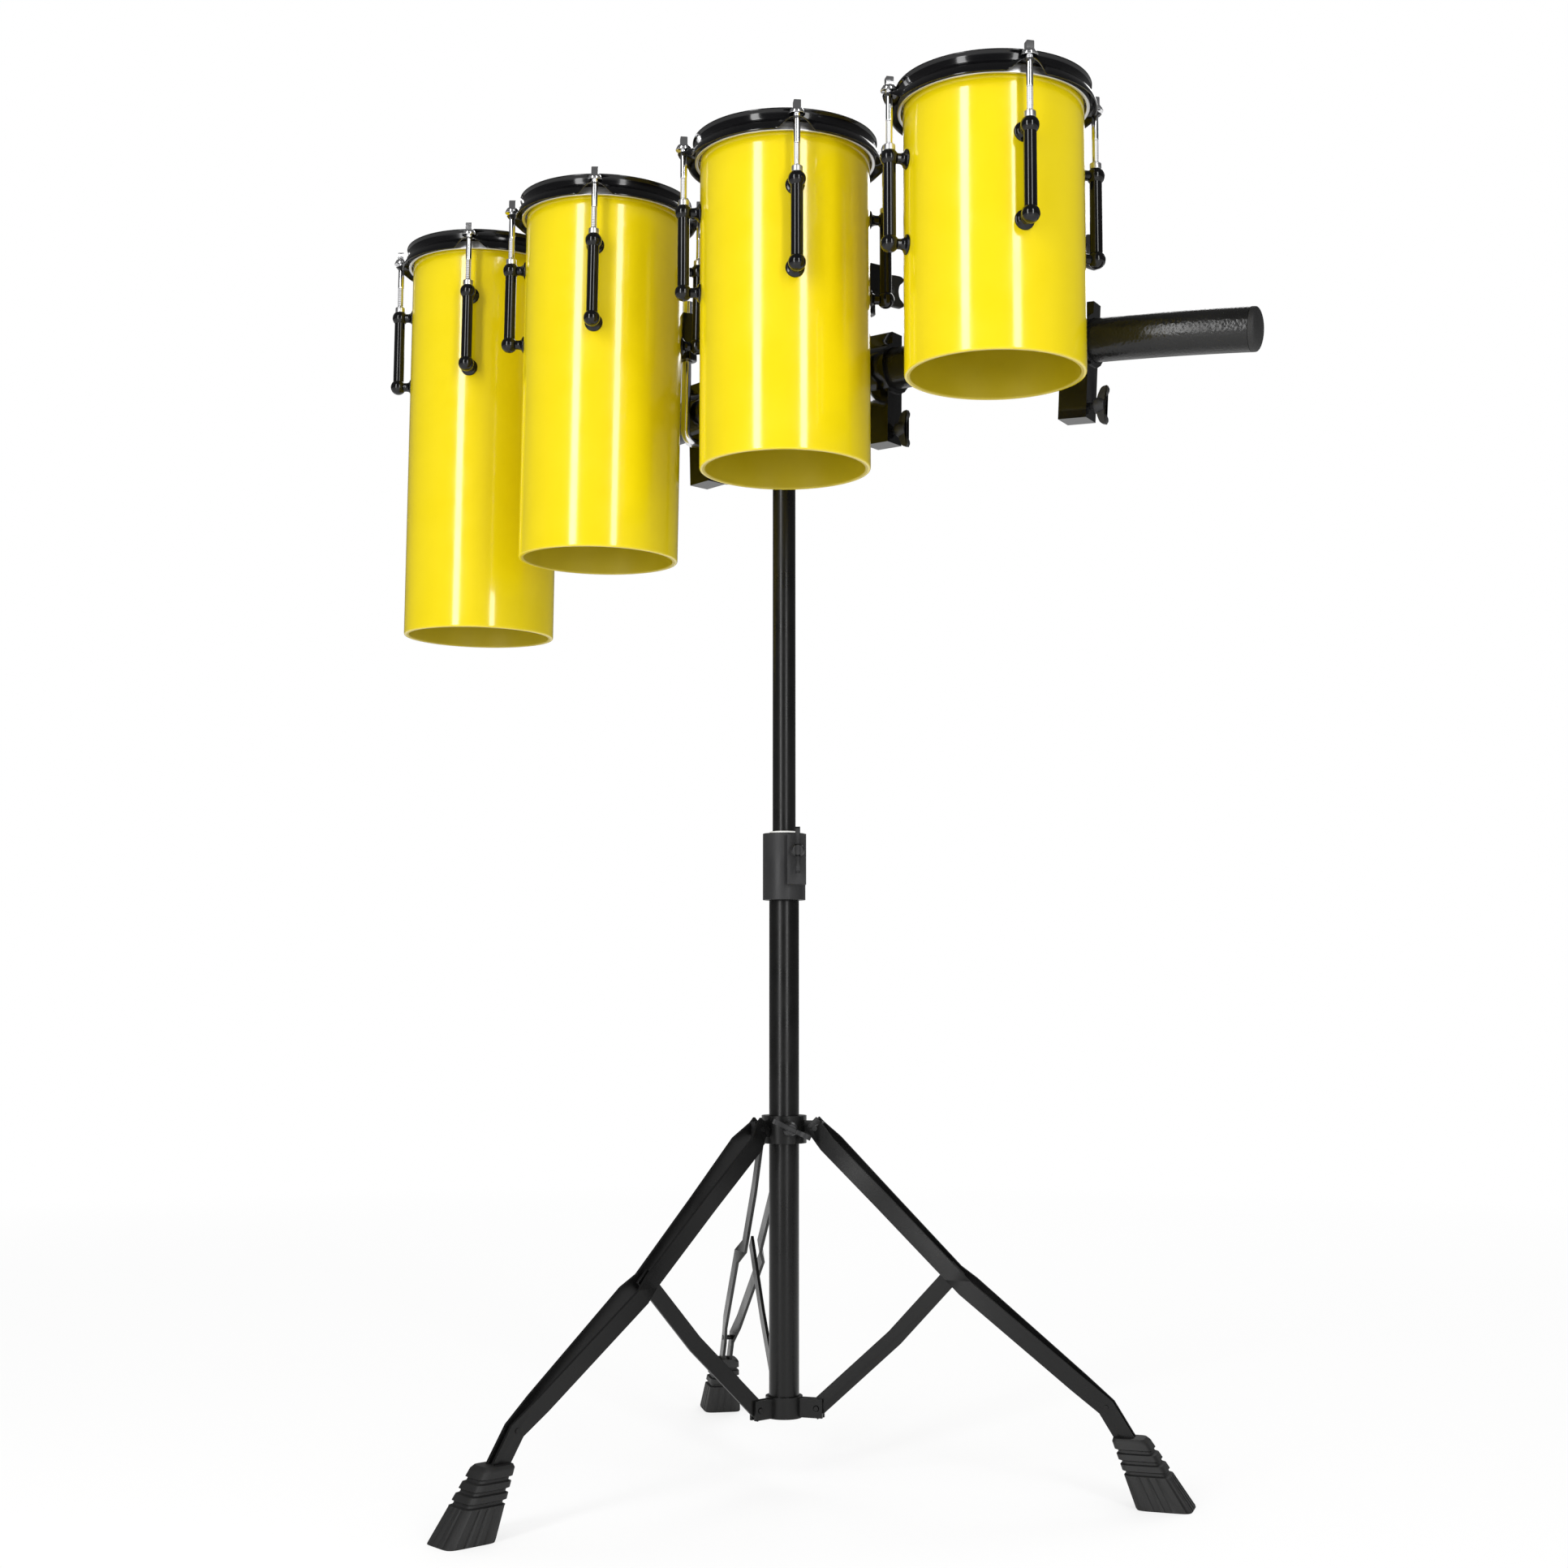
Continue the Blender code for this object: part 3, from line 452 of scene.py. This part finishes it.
def makeDrum(number):
    letter, tag = "abcd"[number], "_%d" % (number + 1)
    place, size = drumFrame(number, letter), drumSize
    radius, inner, length = size["shellRadius"], size["shellRadius"] - size["wall"], size["lengths"][number]
    shape = bmesh.new()
    addTurned(shape, rounded([(inner + 2, -0.3), (radius, -0.3), (radius, -length), (inner + 2.5, -length)],
                             2.2, False), False, 128)
    # The inner faces take the inside yellow, darkened as painted shade.
    addTurned(shape, rounded([(inner + 2.5, -length), (inner, -length), (inner, -0.3), (inner + 2, -0.3)],
                             1.5, False), False, 128, look=1)
    shell = finishMesh("shell" + tag + "Finished", shape, [yellow, paintedShadeInsideYellow], place)
    standFor(shell, "yellow_shell", "shell" + tag)
    standFor(ringOf("lugs" + tag, lugSource, glossBlack, place), "gloss_black", "shell" + tag)
    standFor(ringOf("lugCollars" + tag, collarSource, satin, place), "chrome", "shell" + tag)
    standFor(ringOf("tensionRods" + tag, rodSource, chrome, place), "chrome", "rim" + tag)
    rim = [(81.6, 8), (83, 7.4), (83, 6.4), (81.2, 4.6), (80.6, 1), (80.5, -1.6), (82.2, -3.4), (84.6, -5.4),
           (86.6, -9.4), (87.5, -13), (86.2, -13), (85.2, -9.6), (83.4, -6.4), (81.2, -4.4), (78.6, -4.2),
           (78.3, -2), (78.3, 6.6), (79.4, 8)]
    standFor(turned("rim" + tag + "Finished", rounded(rim, 0.7, steps=2), glossBlack, place, True, 192, rimWarp),
             "gloss_black", "rim" + tag)
    hoop = rounded(tubePoints(80.9, 77.9, -11.9, -4.7), 0.8)
    standFor(turned("hoop" + tag, hoop, satin, place, True, 128), "chrome", "head" + tag)
    skin = [(0, 0.9), (66, 0.9), (75.6, 0.9), (77.3, 0.2), (77.6, -4.6), (76.9, -4.6), (76.7, 0), (75, 0.4), (0, 0.4)]
    standFor(turned("skin" + tag, skin, film, place, False, 128), "head_film", "head" + tag)

    rod = rodFrame(letter)
    ground, bend = rod.translation.z, size["rodBend"] * mm
    top = size["rodTop"] * mm - ground
    path = [(0, 0, top), (0, 0, top - 1.5 * mm), (0, 0, (top + bend) / 2)]
    for i in range(13):
        angle = math.radians(90 * i / 12)
        path.append((0, bend * (1 - math.cos(angle)), bend * (1 - math.sin(angle))))
    path += [(0, (size["rodFront"] + size["rodTail"]) * mm, 0)]
    standFor(swept("rod" + tag, [rod @ Vector(p) for p in path], size["rodRadius"] * mm, chrome),
             "chrome", "l_rod" + tag)
    high = size["bracketLow"] - 0.3 - ground / mm
    lock = rounded(tubePoints(size["lockRadius"], 5.05, high - size["lockHeight"], high), 1.2)
    standFor(turned("lock" + tag, lock, glossBlack, rod, True, 48), "gloss_black", "memory_lock" + tag)
    softened("bracket" + tag, glossBlack, "gloss_black", 1.6)
    softened("clamp" + tag, glossBlack, "gloss_black", 1.4)
    makeWing("bracket_wing" + tag, "drum_wing_turn_" + letter)
    makeWing("clamp_wing" + tag, "clamp_wing_turn_" + letter)
    print("drum", number + 1, "made")


lugSource, rodSource, collarSource = makeLugSource(), makeRodSource(), makeCollarSource()
for number in range(4):
    makeDrum(number)
for source in (lugSource, rodSource, collarSource):
    bpy.data.objects.remove(source)


# Rack and stand
def makeRack():
    half = rackSize["half"]
    points = [rackPoint(half * (2 * i / 80 - 1)) for i in range(81)]
    standFor(swept("rackTubeFinished", points, rackSize["radius"] * mm, hammered, 12), "hammer_black", "rack_tube")
    for node, side in (("rack_cap_left", -1), ("rack_cap_right", 1)):
        outward = (rackPoint(side * half) - rackPoint(side * (half - 1))).normalized()
        cap = [(0, 9.2)] + [(19 * math.sin(math.radians(a)), 3.2 + 6 * math.cos(math.radians(a)))
                            for a in range(10, 91, 8)] + [(19.05, 0.3), (0, 0.3)]
        place = axesAlong(rackPoint(side * half), outward, (0, 0, 1))
        standFor(turned(node + "Finished", cap, rubber, place, False, 64), "black_rubber", node)
    softened("rack_clamp", castGrey, "cast_grey", 1.5)
    makeWing("rack_clamp_bolt", "rack_bolt_turn")


def makeFoot(number, pole):
    # A rubber wedge in rounded layers: grooves round the neck, upright ribs round the sole.
    values, shape, rings = footSize, bmesh.new(), []
    heights = [(0, 0.6), (1.5, 0), (27, 0), (29, 0)]
    for step in range(3):
        base = 30 + 9 * step
        heights += [(base, 2.2), (base + 2.2, 2.2), (base + 3.2, 0), (base + 8, 0)]
    heights += [(57.4, 0), (60, 1.6)]
    for height, inset in heights:
        share = height / 60
        middle = values["reach"] + (values["neck"] - values["reach"]) * share
        long, wide = 25 - 9.5 * share - inset, 20 - 6.4 * share - inset
        ring = []
        for i in range(values["around"]):
            angle = 2 * math.pi * i / values["around"]
            c, s = math.cos(angle), math.sin(angle)
            bulge = (abs(c) ** 6 + abs(s) ** 6) ** (-1 / 6)
            rib = 1.3 if 1 < height < 28 and i % 6 in (0, 1) else 0
            spot = (middle + (long - rib) * bulge * c, (wide - rib) * bulge * s, height)
            ring.append(shape.verts.new(Vector(spot) * mm))
        rings.append(ring)
    for lower, upper in zip(rings, rings[1:]):
        for i in range(values["around"]):
            j = (i + 1) % values["around"]
            shape.faces.new((lower[i], lower[j], upper[j], upper[i]))
    shape.faces.new(rings[0][::-1])
    shape.faces.new(rings[-1])
    place = pole @ spin(values["angles"][number - 1])
    standFor(finishMesh("foot%dFinished" % number, shape, [rubber], place), "black_rubber", "foot_%d" % number)


def makeStand():
    size, pole = tubeSize, Matrix.Translation(jointOf["rack_swivel"]["pos_m"])
    pole.translation.z = 0
    neck = [(12.6, size["top"]), (13.4, size["top"] - 1.5), (14.3, size["top"] - 6), (14.3, size["bottom"]),
            (12.8, size["bottom"]), (12.8, size["top"] - 8), (11.4, size["top"])]
    standFor(turned("lowerTubeFinished", neck, standBlack, pole), "stand_black", "lower_tube")
    mast = rounded(tubePoints(size["upper"], 9.6, size["mastBottom"], size["mastTop"]), 0.5)
    standFor(turned("upperTubeFinished", mast, standBlack, pole), "stand_black", "upper_tube")
    bush = rounded(tubePoints(14.0, 11.4, size["top"] + 0.3, 612), 0.6)
    standFor(turned("bushingFinished", bush, nylon, pole), "white_nylon", "height_bushing")
    softened("height_collar", castGrey, "cast_grey", 1.4)
    makeWing("height_lever", "lever_turn")
    softened("leg_hub", standBlack, "stand_black", 1.0)
    makeWing("hub_wing_bolt", "hub_wing_turn")
    softened("base_bracket", standBlack, "stand_black", 0.5)
    for number in (1, 2, 3):
        softened("leg_%d" % number, standBlack, "stand_black", 0.5)
        softened("stay_%d" % number, standBlack, "stand_black", 0.5)
        makeFoot(number, pole)


makeRack()
makeStand()
print("rack and stand made")


# Floor, light and camera
def makeStudio():
    bpy.ops.mesh.primitive_plane_add(size=60, location=(0, 0, 0))
    floor = bpy.context.object
    floor.name = "floor"
    look = bpy.data.materials.new("paleFloor")
    look.use_nodes = True
    nodes, links = look.node_tree.nodes, look.node_tree.links
    shader, seen = nodes["Principled BSDF"], nodes.new("ShaderNodeLightPath")
    shader.inputs["Base Color"].default_value = studio["floorColor"]
    shader.inputs["Roughness"].default_value = 0.9
    glow, both, out = nodes.new("ShaderNodeEmission"), nodes.new("ShaderNodeMixShader"), nodes["Material Output"]
    part = nodes.new("ShaderNodeMath")
    part.operation = "MULTIPLY"
    place, away = nodes.new("ShaderNodeTexCoord"), nodes.new("ShaderNodeVectorMath")
    fade = nodes.new("ShaderNodeMapRange")
    away.operation = "LENGTH"
    fade.inputs["From Min"].default_value, fade.inputs["From Max"].default_value = studio["floorFade"]
    fade.inputs["To Min"].default_value = 0.7
    links.new(place.outputs["Object"], away.inputs[0])
    links.new(away.outputs["Value"], fade.inputs["Value"])
    links.new(fade.outputs["Result"], part.inputs[1])
    links.new(seen.outputs["Is Camera Ray"], part.inputs[0])
    links.new(part.outputs[0], both.inputs["Fac"])
    links.new(shader.outputs[0], both.inputs[1])
    links.new(glow.outputs[0], both.inputs[2])
    links.new(both.outputs[0], out.inputs["Surface"])
    floor.data.materials.append(look)

    world = bpy.data.worlds.new("softRoom")
    world.use_nodes = True
    bpy.context.scene.world = world
    nodes, links = world.node_tree.nodes, world.node_tree.links
    sky, seen, pick = nodes["Background"], nodes.new("ShaderNodeLightPath"), nodes.new("ShaderNodeMix")
    pick.data_type = "FLOAT"
    dim = nodes.new("ShaderNodeMix")
    dim.data_type = "FLOAT"
    dim.inputs[2].default_value, dim.inputs[3].default_value = studio["worldStrength"], studio["reflectedStrength"]
    pick.inputs[3].default_value = 1.0
    sky.inputs["Color"].default_value = (1, 1, 1, 1)
    links.new(seen.outputs["Is Glossy Ray"], dim.inputs["Factor"])
    links.new(dim.outputs[0], pick.inputs[2])
    links.new(seen.outputs["Is Camera Ray"], pick.inputs["Factor"])
    links.new(pick.outputs[0], sky.inputs["Strength"])

    for name, spot, size, power in (("keyLamp", (-1.5, -2.2, 1.5), (0.45, 2.4), 38),
                                    ("fillLamp", (1.1, -2.6, 1.5), (0.4, 2.4), 30),
                                    ("backLamp", (0.6, 2.4, 2.6), (1.6, 1.6), 26)):
        lamp = bpy.data.lights.new(name, "AREA")
        lamp.shape = "RECTANGLE"
        lamp.size, lamp.size_y, lamp.energy = *size, power
        made = bpy.data.objects.new(name, lamp)
        made.location = spot
        made.rotation_euler = (Vector((0, 0, 0.8)) - Vector(spot)).to_track_quat("-Z", "Y").to_euler()
        bpy.context.scene.collection.objects.link(made)

    view = bpy.data.cameras.new("photoView")
    view.lens, view.sensor_width, view.shift_y = studio["lens"], 36, studio["shift"]
    camera = bpy.data.objects.new("photoView", view)
    camera.location = studio["cameraPlace"]
    camera.rotation_euler = (math.radians(studio["cameraTilt"]), 0, 0)
    bpy.context.scene.collection.objects.link(camera)
    bpy.context.scene.camera = camera
    bpy.context.scene.view_settings.view_transform = "Standard"


makeStudio()
print("studio made")
